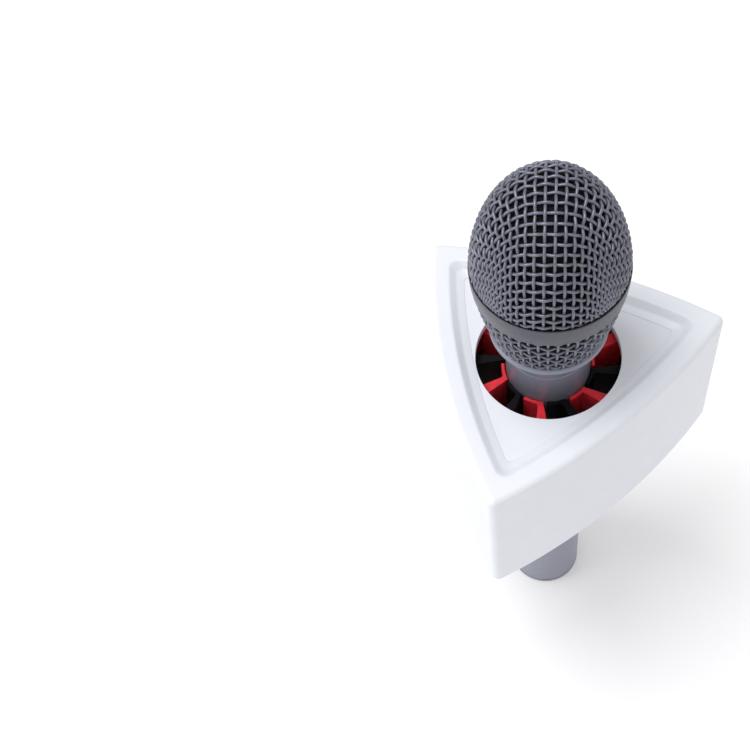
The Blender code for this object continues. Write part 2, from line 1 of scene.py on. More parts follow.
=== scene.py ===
"""The visible model of a handheld interview microphone with a three-sided flag.

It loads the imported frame, builds every visible piece around it and sets up a plain studio.
Lengths are in metres, in the frame's own axes: the microphone stands on its lower end, its head
is towards +Z and the flag's nearest corner points along -Y.
"""
import json
import math

import bmesh
import bpy
import numpy as np
from bpy.props import FloatProperty, FloatVectorProperty, IntProperty, PointerProperty
from mathutils import Matrix, Vector, noise


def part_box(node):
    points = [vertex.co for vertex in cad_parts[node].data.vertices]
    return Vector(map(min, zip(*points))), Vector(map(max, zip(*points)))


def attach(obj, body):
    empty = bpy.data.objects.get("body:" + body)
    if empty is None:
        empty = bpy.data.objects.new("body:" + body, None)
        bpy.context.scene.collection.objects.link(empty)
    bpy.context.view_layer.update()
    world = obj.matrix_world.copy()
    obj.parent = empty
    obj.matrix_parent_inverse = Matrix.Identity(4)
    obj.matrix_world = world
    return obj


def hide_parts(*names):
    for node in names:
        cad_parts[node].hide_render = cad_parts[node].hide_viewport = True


bl_info = {
    "name": "Interview microphone with flag",
    "version": (1, 0, 0),
    "blender": (4, 5, 0),
    "location": "3D View > Sidebar > Microphone",
    "description": "Builds a handheld microphone, its three-sided flag and a plain studio",
    "category": "Object",
}

MM = 0.001

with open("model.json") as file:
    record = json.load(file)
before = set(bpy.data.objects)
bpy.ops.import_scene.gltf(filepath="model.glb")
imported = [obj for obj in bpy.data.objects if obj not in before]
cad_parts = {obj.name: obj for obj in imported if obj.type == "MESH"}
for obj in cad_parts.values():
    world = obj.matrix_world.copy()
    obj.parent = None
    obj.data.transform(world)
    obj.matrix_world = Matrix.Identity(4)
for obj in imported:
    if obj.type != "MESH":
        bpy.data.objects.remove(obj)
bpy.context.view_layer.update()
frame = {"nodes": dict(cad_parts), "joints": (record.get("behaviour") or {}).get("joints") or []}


def lowest(node):
    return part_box(node)[0]


def highest(node):
    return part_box(node)[1]


# Heights and radii that the frame gives
SHAFT_R = highest("handle_tube").x
SHAFT_TOP = highest("handle_tube").z
COLLAR_BASE = lowest("basket_collar").z
COLLAR_TOP = highest("basket_collar").z
COLLAR_TOP_R = highest("basket_collar").x
BAND_BASE = lowest("basket_band").z
BAND_TOP = highest("basket_band").z
BAND_R = highest("basket_band").x
HEAD_TOP = highest("upper_basket").z
RIM_TOP = highest("flag_shell").z
FLAG_FOOT = lowest("flag_shell").z
FIN_TOP = highest("red_grip_fin_1").z
FIN_FOOT = lowest("red_grip_fin_1").z

# Shaft, neck and connector
SHAFT_WALL = 1.4 * MM
NECK_BORE_R = 9.2 * MM
NECK_R = 10.6 * MM
THREAD_PITCH = 1.0 * MM
THREAD_DEPTH = 0.55 * MM
SOCKET_BORE_R = 9.4 * MM
SCREW_HOLE_Z = 22.0 * MM
SCREW_HOLE_R = 1.55 * MM
SCREW_SEAT_R = 1.5 * MM

# Head
BAND_BASE_R = BAND_R - 0.6 * MM
EGG_POWER_Z = 1.79
EGG_POWER_R = 2.25
NET_TURN = math.radians(-73.5)   # which way the upper cloth's own wires run from the pole
NET_OFFSET = 0.77                # where the pole lies between two cross wires, in pitches
CRIMP = 0.36                     # how far a wire swings over and under, in wire diameters
COLLAR_BORE_R = 11.9 * MM
COLLAR_FOOT_R = 12.6 * MM
COLLAR_SEAT_R = 13.2 * MM
COLLAR_RIM = 2.4 * MM            # height of the collar's rolled rim
BAND_WALL = 1.4 * MM
LINER_GAP = 0.25 * MM
LINER_WALL = 1.6 * MM
BAND_BULGE = 0.42 * MM
COLLAR_ROLL_R = 0.75 * MM        # how far the rolled rim bulges
TUCK_DEPTH = 1.6 * MM            # how far the upper cloth's ends reach down behind the band
TUCK_INSET = 0.45 * MM
TUCK_FADE = 0.9 * MM
CLOTH_ROUNDNESS = 2.1            # 2 lays the upper cloth's wires out in rings from the pole
SHEAR = 0.27                     # how much its cells shear near the band
SHEAR_START = 0.45               # the share of the way down where that begins
SHEAR_SPAN = 0.45
SWELL_POWER = 1.35               # how the lower basket swells towards the band

# Flag
FLAG_CORNER_REACH = 52.2 * MM
FLAG_BOW = 5.5 * MM
FLAG_CORNER_R = 2.2 * MM
FLAG_WALL = 2.2 * MM
RIM_WIDTH = 5.8 * MM
RECESS_DEPTH = 2.8 * MM
RECESS_SLOPE = 4.3 * MM
RECESS_KNEE = (2.0 * MM, 1.8 * MM)   # how far in and down from the rim the steep wall ends
RECESS_LIP = 0.22 * MM               # height of the small step at the foot of the wall
RECESS_CORNER_R = 3.0 * MM
CORNER_TIGHTENING = 0.35         # how fast the recess's corners tighten towards its floor
SHARP_CORNER_R = 0.4 * MM
RIM_THICKNESS = 2.7 * MM
HOLE_EDGE = 0.2 * MM
COVER_GAP = 0.3 * MM
COVER_LIP = 0.8 * MM
COVER_LIP_WIDTH = 1.6 * MM
SLEEVE_WALL = 1.5 * MM
FLOOR_THICKNESS = 2.5 * MM
HOLE_R = 21.0 * MM

# Grip
FIN_ROOT_HALF = 1.9 * MM
FIN_INNER_HALF = 0.85 * MM
FIN_LEAN = 5.0                   # degrees
PAD_R = SHAFT_R + 0.3 * MM
PAD_THICKNESS = 1.0 * MM
PAD_SWEEP = 22.0                 # degrees
GRIP_RING_WALL = 1.3 * MM

# Studio
CAMERA_PLACE = (0.05603, -0.18927, 0.47610)
CAMERA_AIM = (-0.04478, -0.02298, 0.150)
CAMERA_ROLL = -11.734            # degrees
OVERHEAD_LIGHT = (-0.25, -0.08, 1.02)
LEFT_LIGHT = (-0.72, -0.51, 0.36)
LIGHT_AIM = (0, 0, 0.16)
LIGHT_SIZE = 0.5
FLOOR_RINGS = ((0.15, 0.0), (0.6, 0.0), (1.6, 0.0), (2.6, 0.02), (3.2, 0.12))

TURNED_STEPS = 128
WELD = 0.0005 * MM               # points closer than this are one


# ------------------------------------------------------------------ settings

class ClothSettings(bpy.types.PropertyGroup):
    """The two woven wire baskets of the head."""
    wire: FloatProperty(name="Wire", description="Diameter of the painted wire",
                        default=0.82 * MM, min=0.2 * MM, unit="LENGTH")
    pitch: FloatProperty(name="Pitch", description="Spacing of the upper cloth's wires",
                         default=2.65 * MM, min=1.2 * MM, unit="LENGTH")
    columns: IntProperty(name="Columns", description="Upright wires round the lower basket",
                         default=48, min=12)
    row_pitch: FloatProperty(name="Row pitch", description="Spacing of the lower basket's rings",
                             default=3.07 * MM, min=1.2 * MM, unit="LENGTH")


class FlagSettings(bpy.types.PropertyGroup):
    """The moulded flag and the grip inside it."""
    rim_fillet: FloatProperty(name="Rim fillet", description="Rounding of the rim's outer edge",
                              default=2.0 * MM, min=0.2 * MM, unit="LENGTH")
    fin_edge: FloatProperty(name="Fin edge", description="Rounding of the grip fins' edges",
                            default=0.22 * MM, min=0.02 * MM, unit="LENGTH")


class FinishSettings(bpy.types.PropertyGroup):
    """Colours of the finishes."""
    paint: FloatVectorProperty(name="Lacquer", description="The band round the head",
                               default=(0.072, 0.072, 0.092), subtype="COLOR", min=0, max=1)
    # Paler than the band's lacquer: partly the shaft's and collar's own paler paint, partly
    # painted light that makes up for the shade they lie in under the head.
    shaft: FloatVectorProperty(name="Shaft lacquer", description="The shaft and the head's collar",
                               default=(0.25, 0.258, 0.325), subtype="COLOR", min=0, max=1)
    wire_paint: FloatVectorProperty(name="Wire lacquer", description="The woven baskets",
                                    default=(0.168, 0.173, 0.22), subtype="COLOR", min=0, max=1)
    white: FloatVectorProperty(name="White plastic", description="The flag",
                               default=(0.79, 0.805, 0.865), subtype="COLOR", min=0, max=1)
    red: FloatVectorProperty(name="Red rubber", description="Every second grip fin",
                             default=(0.86, 0.032, 0.05), subtype="COLOR", min=0, max=1)


class StageSettings(bpy.types.PropertyGroup):
    """Camera, floor and lights."""
    lens: FloatProperty(name="Lens", description="Focal length in millimetres",
                        default=63.07, min=10)
    key_power: FloatProperty(name="Overhead light", description="Power in watts",
                             default=4.8, min=0, subtype="POWER")
    fill_power: FloatProperty(name="Left light", description="Power in watts",
                              default=1.5, min=0, subtype="POWER")
    sky: FloatProperty(name="Sky", description="Brightness of the white surroundings",
                       default=0.66, min=0)
    floor: FloatVectorProperty(name="Floor", description="Colour of the floor",
                               default=(0.93, 0.93, 0.94), subtype="COLOR", min=0, max=1)


# ------------------------------------------------------------------ finishes

def new_finish(name, colour, roughness, even=None):
    """A finish whose even qualities sit on the shader's own sockets."""
    material = bpy.data.materials.new(name)
    material.use_nodes = True
    shader = material.node_tree.nodes["Principled BSDF"]
    shader.inputs["Base Color"].default_value = (*colour, 1.0)
    shader.inputs["Roughness"].default_value = roughness
    for socket, value in (even or {}).items():
        shader.inputs[socket].default_value = value
    return material


def add_texture(material, kind, size, detail=2.0, stretch=(1, 1, 1)):
    """A texture node with features of about the given size, fixed to the piece."""
    nodes, links = material.node_tree.nodes, material.node_tree.links
    place = nodes.new("ShaderNodeTexCoord")
    mapping = nodes.new("ShaderNodeMapping")
    mapping.inputs["Scale"].default_value = stretch
    texture = nodes.new(kind)
    texture.inputs["Scale"].default_value = 1.0 / size
    if "Detail" in texture.inputs:
        texture.inputs["Detail"].default_value = detail
    links.new(place.outputs["Object"], mapping.inputs["Vector"])
    links.new(mapping.outputs["Vector"], texture.inputs["Vector"])
    return texture


def shaded(colour, factor):
    return (*(min(1.0, part * factor) for part in colour), 1.0)


def vary_colour(material, colour, dark, light, size, stretch=(1, 1, 1)):
    """Let the colour wander between its dark and light shades over patches of about size."""
    nodes, links = material.node_tree.nodes, material.node_tree.links
    texture = add_texture(material, "ShaderNodeTexNoise", size, detail=4.0, stretch=stretch)
    ramp = nodes.new("ShaderNodeValToRGB")
    ramp.color_ramp.elements[0].position = 0.3
    ramp.color_ramp.elements[0].color = shaded(colour, dark)
    ramp.color_ramp.elements[1].position = 0.7
    ramp.color_ramp.elements[1].color = shaded(colour, light)
    links.new(texture.outputs[0], ramp.inputs["Fac"])
    links.new(ramp.outputs["Color"], nodes["Principled BSDF"].inputs["Base Color"])


def vary_roughness(material, smooth, rough, size, stretch=(1, 1, 1)):
    """Let the roughness wander between two values over patches of about size."""
    nodes, links = material.node_tree.nodes, material.node_tree.links
    texture = add_texture(material, "ShaderNodeTexNoise", size, detail=3.0, stretch=stretch)
    spread = nodes.new("ShaderNodeMapRange")
    spread.inputs["From Min"].default_value = 0.3
    spread.inputs["From Max"].default_value = 0.7
    spread.inputs["To Min"].default_value = smooth
    spread.inputs["To Max"].default_value = rough
    links.new(texture.outputs[0], spread.inputs["Value"])
    links.new(spread.outputs["Result"], nodes["Principled BSDF"].inputs["Roughness"])


def add_bumps(material, size, depth, strength, stretch=(1, 1, 1), kind="ShaderNodeTexNoise"):
    """Raise the surface by about depth over features of about size, on top of earlier bumps."""
    nodes, links = material.node_tree.nodes, material.node_tree.links
    texture = add_texture(material, kind, size, stretch=stretch)
    bump = nodes.new("ShaderNodeBump")
    bump.inputs["Distance"].default_value = depth
    bump.inputs["Strength"].default_value = strength
    target = nodes["Principled BSDF"].inputs["Normal"]
    if target.is_linked:
        links.new(target.links[0].from_socket, bump.inputs["Normal"])
    links.new(texture.outputs[0], bump.inputs["Height"])
    links.new(bump.outputs["Normal"], target)


def satin_lacquer(colour):
    """Blue-grey metallic lacquer with a fine sprayed grain."""
    material = new_finish("satin_lacquer", colour, 0.42, {"Metallic": 0.35, "Coat Weight": 0.15,
                                                          "Coat Roughness": 0.35})
    vary_colour(material, colour, 0.86, 1.14, 0.25 * MM)
    vary_roughness(material, 0.38, 0.47, 0.9 * MM)
    add_bumps(material, 0.16 * MM, 0.012 * MM, 0.5)
    return material


def wire_lacquer(colour):
    """The same lacquer baked onto wire, a little thicker and glossier on the crowns."""
    material = new_finish("wire_lacquer", colour, 0.38, {"Metallic": 0.45, "Coat Weight": 0.2,
                                                         "Coat Roughness": 0.25})
    vary_colour(material, colour, 0.86, 1.12, 0.9 * MM)
    vary_roughness(material, 0.33, 0.45, 0.5 * MM)
    add_bumps(material, 0.22 * MM, 0.012 * MM, 0.4)
    return material


def open_foam(colour=(0.010, 0.010, 0.012)):
    """Black open-celled foam."""
    material = new_finish("open_foam", colour, 0.95, {"Specular IOR Level": 0.1})
    vary_colour(material, colour, 0.4, 1.6, 0.5 * MM)
    add_bumps(material, 0.55 * MM, 0.12 * MM, 0.9, kind="ShaderNodeTexVoronoi")
    return material


def white_moulding(colour):
    """Satin white plastic from a fine-eroded mould."""
    material = new_finish("white_moulding", colour, 0.4, {"Specular IOR Level": 0.45,
                                                          "Coat Weight": 0.1,
                                                          "Coat Roughness": 0.3})
    vary_colour(material, colour, 0.985, 1.01, 9.0 * MM)
    vary_roughness(material, 0.36, 0.44, 3.0 * MM)
    add_bumps(material, 0.28 * MM, 0.008 * MM, 0.35)
    add_bumps(material, 7.0 * MM, 0.03 * MM, 0.25)
    return material


def black_moulding(colour=(0.006, 0.006, 0.007)):
    """Matt black plastic."""
    material = new_finish("black_moulding", colour, 0.5)
    vary_colour(material, colour, 0.8, 1.25, 1.5 * MM)
    vary_roughness(material, 0.45, 0.58, 1.0 * MM)
    add_bumps(material, 0.2 * MM, 0.01 * MM, 0.5)
    return material


def soft_rubber(colour, shine):
    """Moulded elastomer with a dry, fine-grained skin."""
    material = new_finish("soft_rubber", colour, 0.48, {"Specular IOR Level": shine})
    vary_colour(material, colour, 0.85, 1.12, 1.8 * MM)
    vary_roughness(material, 0.42, 0.56, 0.8 * MM)
    add_bumps(material, 0.15 * MM, 0.010 * MM, 0.5)
    return material


def turned_metal(colour, roughness=0.28):
    """Bare metal with fine tool marks that run round the axis."""
    material = new_finish("turned_metal", colour, roughness, {"Metallic": 1.0})
    vary_colour(material, colour, 0.85, 1.08, 0.8 * MM, (1, 1, 6))
    vary_roughness(material, roughness * 0.8, roughness * 1.3, 0.3 * MM, (1, 1, 9))
    add_bumps(material, 1.2 * MM, 0.008 * MM, 0.4, (1, 1, 30))
    return material


def wound_copper():
    """Fine enamelled copper wire wound in rings."""
    material = turned_metal((0.75, 0.32, 0.15), 0.32)
    add_bumps(material, 0.5 * MM, 0.03 * MM, 0.7, (0, 0, 1), kind="ShaderNodeTexWave")
    return material


def sintered_magnet():
    """Dull grey sintered magnet and laminations."""
    colour = (0.16, 0.16, 0.17)
    material = new_finish("sintered_magnet", colour, 0.5, {"Metallic": 0.8})
    vary_colour(material, colour, 0.7, 1.3, 0.5 * MM)
    add_bumps(material, 0.3 * MM, 0.02 * MM, 0.5, kind="ShaderNodeTexVoronoi")
    return material


def clear_film():
    """Thin amber film of the diaphragm."""
    colour = (0.70, 0.66, 0.52)
    material = new_finish("clear_film", colour, 0.25, {"Coat Weight": 0.4})
    vary_colour(material, colour, 0.9, 1.1, 2.0 * MM)
    add_bumps(material, 1.0 * MM, 0.01 * MM, 0.4)
    return material


def studio_floor(colour):
    """Matt white paper that gives off a little light."""
    material = new_finish("studio_floor", colour, 0.7, {"Specular IOR Level": 0.2,
                                                        "Emission Color": (1, 1, 1, 1),
                                                        "Emission Strength": 0.12})
    vary_colour(material, colour, 0.995, 1.0, 0.3)
    add_bumps(material, 1.0 * MM, 0.02 * MM, 0.2)
    return material


def finish(kind):
    """A named finish, made once. Each material slot of the record has one of its own."""
    colours = bpy.context.scene.mic_finish
    name, make, *values = {
        "paint": ("satin_lacquer", satin_lacquer, colours.paint),
        # Pale copy of the lacquer: partly real paler paint, partly painted light for the collar
        # and shaft in the head's shade.
        "pale_paint_and_painted_light": ("pale_lacquer", satin_lacquer, colours.shaft),
        "mesh_paint": ("wire_lacquer", wire_lacquer, colours.wire_paint),
        "foam": ("open_foam", open_foam),
        "white_plastic": ("white_moulding", white_moulding, colours.white),
        "black_plastic": ("black_moulding", black_moulding),
        "red_rubber": ("red_rubber", soft_rubber, colours.red, 0.25),
        "black_rubber": ("black_rubber", soft_rubber, (0.003, 0.003, 0.0045), 0.12),
        "steel": ("turned_steel", turned_metal, (0.55, 0.56, 0.58)),
        "copper": ("wound_copper", wound_copper),
        "magnet": ("sintered_magnet", sintered_magnet),
        "film": ("clear_film", clear_film),
        "gold": ("gold_plate", turned_metal, (0.9, 0.62, 0.2), 0.2),
    }[kind]
    known = bpy.data.materials.get(name)
    if known is not None and known.get("studio_finish"):
        return known
    made = make(*values)
    made.name = name
    made["studio_finish"] = True
    return made


# ------------------------------------------------------------------ mesh work

def rounded(points, radius, steps=5):
    """A closed outline with rounded corners; radius is one size, or one for each corner."""
    radii = radius if isinstance(radius, (list, tuple)) else [radius] * len(points)
    outline = []
    for index, place in enumerate(points):
        corner = Vector(place)
        back = Vector(points[index - 1]) - corner
        ahead = Vector(points[(index + 1) % len(points)]) - corner
        half = back.angle(ahead) / 2
        sweep = math.pi - 2 * half
        if radii[index] <= 0 or sweep < 0.02:
            outline.append(corner)
            continue
        reach = min(radii[index] / math.tan(half), 0.48 * back.length, 0.48 * ahead.length)
        back.normalize()
        ahead.normalize()
        centre = corner + (back + ahead).normalized() * reach / math.cos(half)
        first, last = corner + back * reach - centre, corner + ahead * reach - centre
        for step in range(steps + 1):
            part = step / steps
            outline.append(centre + (first * math.sin((1 - part) * sweep)
                                     + last * math.sin(part * sweep)) / math.sin(sweep))
    return outline


def add_object(name, data):
    obj = bpy.data.objects.new(name, data)
    bpy.context.scene.collection.objects.link(obj)
    return obj


def as_mesh(name, bm):
    mesh = bpy.data.meshes.new(name)
    bm.to_mesh(mesh)
    bm.free()
    return mesh


def dress(name, mesh, slot, body, sharp, replaces, coat=None):
    """A piece with this mesh that rides on a body, in its slot's finish or another coat."""
    mesh.shade_smooth()
    mesh.set_sharp_from_angle(angle=math.radians(sharp))
    mesh.materials.append(finish(coat or slot))
    obj = add_object(name, mesh)
    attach(obj, body)
    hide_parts(*replaces)
    return obj


def finish_mesh(name, verts, faces, slot, body, replaces, sharp=35.0, weld=True, coat=None):
    """An outward-facing piece made from points and faces."""
    mesh = bpy.data.meshes.new(name)
    mesh.from_pydata(verts, [], faces)
    if weld:
        bm = bmesh.new()
        bm.from_mesh(mesh)
        bmesh.ops.remove_doubles(bm, verts=bm.verts, dist=WELD)
        bmesh.ops.dissolve_degenerate(bm, dist=WELD, edges=bm.edges)
        bmesh.ops.recalc_face_normals(bm, faces=bm.faces)
        bm.to_mesh(mesh)
        bm.free()
    return dress(name, mesh, slot, body, sharp, replaces, coat)


def ring_faces(rings, count, closed):
    """Quads between rings of count points each, and from the last ring to the first if closed."""
    faces = []
    for ring in range(rings if closed else rings - 1):
        base, above = ring * count, (ring + 1) % rings * count
        for i in range(count):
            j = (i + 1) % count
            faces.append((base + i, base + j, above + j, above + i))
    return faces


def turn_angles(steps):
    return [2 * math.pi * step / steps for step in range(steps)]


def turned(name, outline, slot, body, replaces, steps=TURNED_STEPS, **options):
    """A solid turned about Z from a closed outline of (radius, height) points."""
    verts = [(radius * math.cos(angle), radius * math.sin(angle), height)
             for radius, height in outline for angle in turn_angles(steps)]
    return finish_mesh(name, verts, ring_faces(len(outline), steps, True), slot, body, replaces,
                       **options)


def box_section(inner, low, high):
    """The section of a plain tube that fills a box from its inner radius out."""
    return [(inner, low.z), (high.x, low.z), (high.x, high.z), (inner, high.z)]


def lofted(name, rings, slot, body, replaces):
    """A solid whose skin runs through closed rings of equal length and back to the first."""
    verts = [point for ring in rings for point in ring]
    faces = ring_faces(len(rings), len(rings[0]), True)
    return finish_mesh(name, verts, faces, slot, body, replaces)


def even_shading(obj):
    """Let the wide faces lead the shading, so that fillets fade into flats without a shadow."""
    modifier = obj.modifiers.new("even_shading", "WEIGHTED_NORMAL")
    modifier.keep_sharp = True
    modifier.weight = 80


def wire_mesh(name, runs, radius, body, replaces, sides=8):
    """Round wires swept along runs: their points, outward directions and whether they close."""
    verts, faces = [], []
    turn = np.arange(sides) * 2 * math.pi / sides
    for points, outward, closed in runs:
        if closed:
            along = np.roll(points, -1, axis=0) - np.roll(points, 1, axis=0)
        else:
            along = np.gradient(points, axis=0)
        along /= np.linalg.norm(along, axis=1)[:, None]
        side = np.cross(along, outward)
        side /= np.linalg.norm(side, axis=1)[:, None]
        up = np.cross(side, along)
        ring = (up[:, None] * np.cos(turn)[None, :, None]
                + side[:, None] * np.sin(turn)[None, :, None])
        start = len(verts)
        verts.extend((points[:, None] + radius * ring).reshape(-1, 3).tolist())
        count = len(points)
        faces.extend(tuple(start + i for i in face) for face in ring_faces(count, sides, closed))
        if not closed:
            faces.append(tuple(start + i for i in reversed(range(sides))))
            faces.append(tuple(start + (count - 1) * sides + i for i in range(sides)))
    return finish_mesh(name, verts, faces, "mesh_paint", body, replaces, sharp=60.0, weld=False)


# ------------------------------------------------------------------ woven head

def egg_slope(points):
    """How far beyond the egg's skin points lie, as a share, and the slope of that measure."""
    height = HEAD_TOP - BAND_TOP
    radius = np.maximum(np.hypot(points[..., 0], points[..., 1]), 1e-9)
    rise = np.maximum((points[..., 2] - BAND_TOP) / height, 0.0)
    beyond = (radius / BAND_R) ** EGG_POWER_R + rise ** EGG_POWER_Z - 1.0
    out = EGG_POWER_R * (radius / BAND_R) ** (EGG_POWER_R - 1) / BAND_R / radius
    up = EGG_POWER_Z * rise ** (EGG_POWER_Z - 1) / height
    return beyond, np.stack([points[..., 0] * out, points[..., 1] * out, up], axis=-1)


def onto_egg(points):
    """Points moved onto the egg's skin, and the skin's outward directions there."""
    for _ in range(3):
        beyond, slope = egg_slope(points)
        points = points - (beyond / (slope ** 2).sum(-1))[..., None] * slope
    slope = egg_slope(points)[1]
    return points, slope / np.linalg.norm(slope, axis=-1)[..., None]


def egg_radius(height):
    rise = np.clip((height - BAND_TOP) / (HEAD_TOP - BAND_TOP), 0.0, 1.0)
    return BAND_R * (1 - rise ** EGG_POWER_Z) ** (1 / EGG_POWER_R)


def egg_profile(below):
    """Lengths along the skin from the pole to below the band, and the radius and height there."""
    heights = HEAD_TOP - (HEAD_TOP - BAND_TOP) * (1 - np.cos(np.linspace(0, math.pi / 2, 200)))
    radii = egg_radius(heights)
    lengths = np.concatenate([[0.0], np.cumsum(np.hypot(np.diff(radii), np.diff(heights)))])
    return (np.append(lengths, lengths[-1] + below), np.append(radii, BAND_R),
            np.append(heights, BAND_TOP - below))


def drawn_cloth(pitch):
    """Where the wires of a square cloth cross when it is drawn over the egg, and which are used.

    Wires near the pole keep their spacing. Further down the cells shear between the two
    directions of the wires, and more so towards the band, as pressed wire cloth does.
    """
    lengths, radii, heights = egg_profile(4.0 * MM)
    half = math.ceil(lengths[-1] / pitch) + 1
    steps = np.arange(-half, half)
    along, across = np.meshgrid((steps + NET_OFFSET) * pitch, (steps + 0.5) * pitch, indexing="ij")
    share = np.hypot(along, across) / lengths[-2]
    far = np.clip((share - SHEAR_START) / SHEAR_SPAN, 0.0, 1.0)
    power = CLOTH_ROUNDNESS - SHEAR * far ** 2 * (3 - 2 * far)
    reach = (np.abs(along) ** power + np.abs(across) ** power) ** (1 / power)
    heading = NET_TURN + np.arctan2(np.sign(across) * np.interp(np.abs(across), lengths, radii),
                                    np.sign(along) * np.interp(np.abs(along), lengths, radii))
    radius = np.interp(reach, lengths, radii)
    points = np.stack([radius * np.cos(heading), radius * np.sin(heading),
                       np.interp(reach, lengths, heights)], axis=-1)
    return points, reach < lengths[-1]


def crimped(crossings, phase, wire, steps=5):
    """A wire that runs over and under through its crossings on the egg, down to the band."""
    places = np.linspace(0, len(crossings) - 1, (len(crossings) - 1) * steps + 1)
    index = np.clip(places.astype(int), 0, len(crossings) - 2)
    part = (places - index)[:, None]
    ends = np.concatenate([[2 * crossings[0] - crossings[1]], crossings,
                           [2 * crossings[-1] - crossings[-2]]])
    before, start, end, after = (ends[index + k] for k in range(4))
    points = 0.5 * (2 * start + (end - before) * part
                    + (2 * before - 5 * start + 4 * end - after) * part ** 2
                    + (3 * start - before - 3 * end + after) * part ** 3)
    points, outward = onto_egg(points)
    above = points[:, 2] - BAND_TOP
    tuck = np.exp(-np.maximum(above, 0.0) / TUCK_FADE)
    lift = CRIMP * wire * np.cos(math.pi * places + phase) * (1 - 0.6 * tuck)
    inset = (0.5 + CRIMP) * wire + TUCK_INSET * tuck
    points = points + (lift - inset)[:, None] * outward
    kept = np.flatnonzero(above > -TUCK_DEPTH)
    if len(kept) < 2 * steps:
        return None
    kept = slice(kept[0], kept[-1] + 1)
    return points[kept], outward[kept], False


def upper_wires(cloth):
    """The wires of both directions of the upper cloth."""
    crossings, used = drawn_cloth(cloth.pitch)
    runs = []
    for family, (grid, mask) in enumerate(((crossings, used),
                                           (crossings.swapaxes(0, 1), used.T))):
        for row in range(len(grid)):
            kept = np.flatnonzero(mask[row])
            if len(kept) < 4:
                continue
            phase = math.pi * (row + kept[0] + family)
            run = crimped(grid[row, kept[0]:kept[-1] + 1], phase, cloth.wire)
            if run is not None:
                runs.append(run)
    return runs


def lower_radius(height):
    """The lower basket's radius, which swells from the collar to the band."""
    part = (height - COLLAR_TOP) / (BAND_BASE - COLLAR_TOP)
    swell = 1 - np.maximum(1 - part, 0.0) ** SWELL_POWER
    foot = COLLAR_TOP_R - 0.4 * MM
    return foot + (BAND_BASE_R - 0.2 * MM - foot) * swell


def lower_wires(cloth):
    """Upright wires and rings, woven over and under each other."""
    base, top = COLLAR_TOP - 0.6 * MM, BAND_BASE + 0.8 * MM
    steps = 7
    swing, inset = CRIMP * cloth.wire, (0.5 + CRIMP) * cloth.wire
    rows = round((top - base) / cloth.row_pitch)
    runs = []
    for column in range(cloth.columns):
        angle = NET_TURN + 2 * math.pi * column / cloth.columns
        height = np.linspace(base, top, rows * steps + 1)
        lift = swing * np.cos(math.pi * ((height - base) / cloth.row_pitch - 0.5 + column))
        runs.append(lower_run(height, np.full_like(height, angle), lift - inset, False))
    for row in range(rows):
        around = np.linspace(0, cloth.columns, cloth.columns * steps + 1)[:-1]
        height = np.full_like(around, base + (row + 0.5) * cloth.row_pitch)
        lift = -swing * np.cos(math.pi * (around + row))
        angle = NET_TURN + 2 * math.pi * around / cloth.columns
        runs.append(lower_run(height, angle, lift - inset, True))
    return runs


def lower_run(height, angle, lift, closed):
    """Points and outward directions at a lift beyond the lower basket's skin."""
    step = 0.1 * MM
    radius = lower_radius(height)
    lean = (lower_radius(height + step) - lower_radius(height - step)) / (2 * step)
    level = 1 / np.sqrt(1 + lean ** 2)
    outward = np.stack([np.cos(angle) * level, np.sin(angle) * level, -lean * level], axis=-1)
    points = np.stack([radius * np.cos(angle), radius * np.sin(angle), height], axis=-1)
    return points + lift[:, None] * outward, outward, closed


# ------------------------------------------------------------------ flag outlines

def arc_points(centre, radius, start, end, steps):
    """Points on an arc from start to end, in degrees."""
    points = []
    for step in range(steps + 1):
        angle = math.radians(start + (end - start) * step / steps)
        points.append((centre[0] + radius * math.cos(angle),
                       centre[1] + radius * math.sin(angle)))
    return points


def corner_radius(inset):
    """The outline's corner radius: tight near the outside, soft round the recess."""
    wall = 1.2 * FLAG_WALL
    if inset < wall:
        return max(FLAG_CORNER_R - inset, SHARP_CORNER_R)
    return min(SHARP_CORNER_R + 1.1 * (inset - wall),
               RECESS_CORNER_R - CORNER_TIGHTENING * (inset - RIM_WIDTH))


def flag_outline(inset, side_steps=36, corner_steps=8):
    """The flag's three-sided outline, drawn in by inset, as (x, y) points."""
    half_chord = FLAG_CORNER_REACH * math.sqrt(3) / 2
    bow_r = (half_chord ** 2 + FLAG_BOW ** 2) / (2 * FLAG_BOW)
    bow_centre = FLAG_CORNER_REACH / 2 + FLAG_BOW - bow_r
    side_r = bow_r - inset
    corner_r = corner_radius(inset)
    corner_reach = bow_centre / 2 + math.sqrt((side_r - corner_r) ** 2 - 0.75 * bow_centre ** 2)
    # Seen from the middle of a side's bow, the angle out to the corner's own centre
    swing = math.degrees(math.atan2(corner_reach * math.sin(math.radians(60)),
                                    corner_reach * math.cos(math.radians(60)) - bow_centre))
    points = []
    for side in range(3):
        facing = -30 + 120 * side
        out = math.radians(facing)
        centre = (bow_centre * math.cos(out), bow_centre * math.sin(out))
        points += arc_points(centre, side_r, facing - swing, facing + swing, side_steps)
        corner = math.radians(facing + 60)
        middle = (corner_reach * math.cos(corner), corner_reach * math.sin(corner))
        turn = arc_points(middle, corner_r, facing + swing, facing + 120 - swing, corner_steps)
        points += turn[1:-1]
    return points


def outline_ring(inset, height):
    return [(x, y, height) for x, y in flag_outline(inset)]


def round_ring(radius, height):
    """A circle with one point in line with each point of the outline."""
    ring = []
    for x, y in flag_outline(RIM_WIDTH + RECESS_SLOPE):
        reach = math.hypot(x, y)
        ring.append((x / reach * radius, y / reach * radius, height))
    return ring


